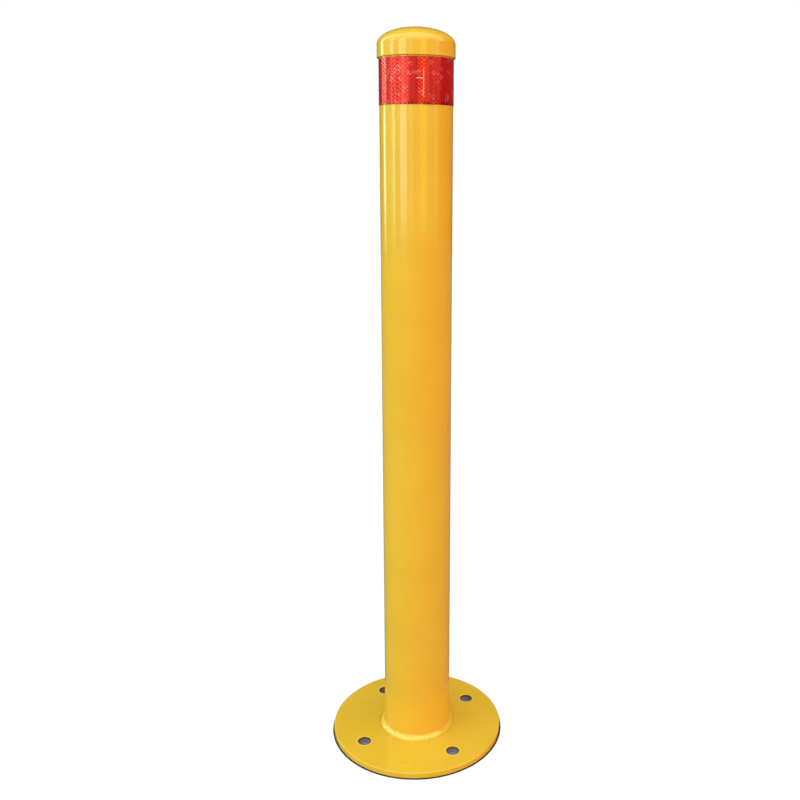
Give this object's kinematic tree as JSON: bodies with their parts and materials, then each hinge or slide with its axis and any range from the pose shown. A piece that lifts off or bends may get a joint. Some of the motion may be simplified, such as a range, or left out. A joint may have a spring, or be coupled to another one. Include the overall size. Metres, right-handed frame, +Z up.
{
  "type": "safety bollard",
  "caption": "Yellow steel safety bollard: an upright tube welded to a round bolt-down base plate, with a domed cap and a red reflective band below the cap.",
  "frame": {"origin": "centre of the base plate's underside, on the ground", "axes": "+Z up along the tube's axis; +X and +Y lie between the anchor holes, which are on the diagonals"},
  "size_m": [0.23, 0.23, 0.9263],
  "materials": {
    "yellow_coat": "glossy yellow powder coat with a light orange-peel texture",
    "red_film": "glossy red prismatic retroreflective film"
  },
  "bodies": {
    "root": {"base_plate": "yellow_coat", "post_tube": "yellow_coat", "base_weld": "yellow_coat", "dome_cap": "yellow_coat", "reflective_band": "red_film"}
  },
  "joints": []
}
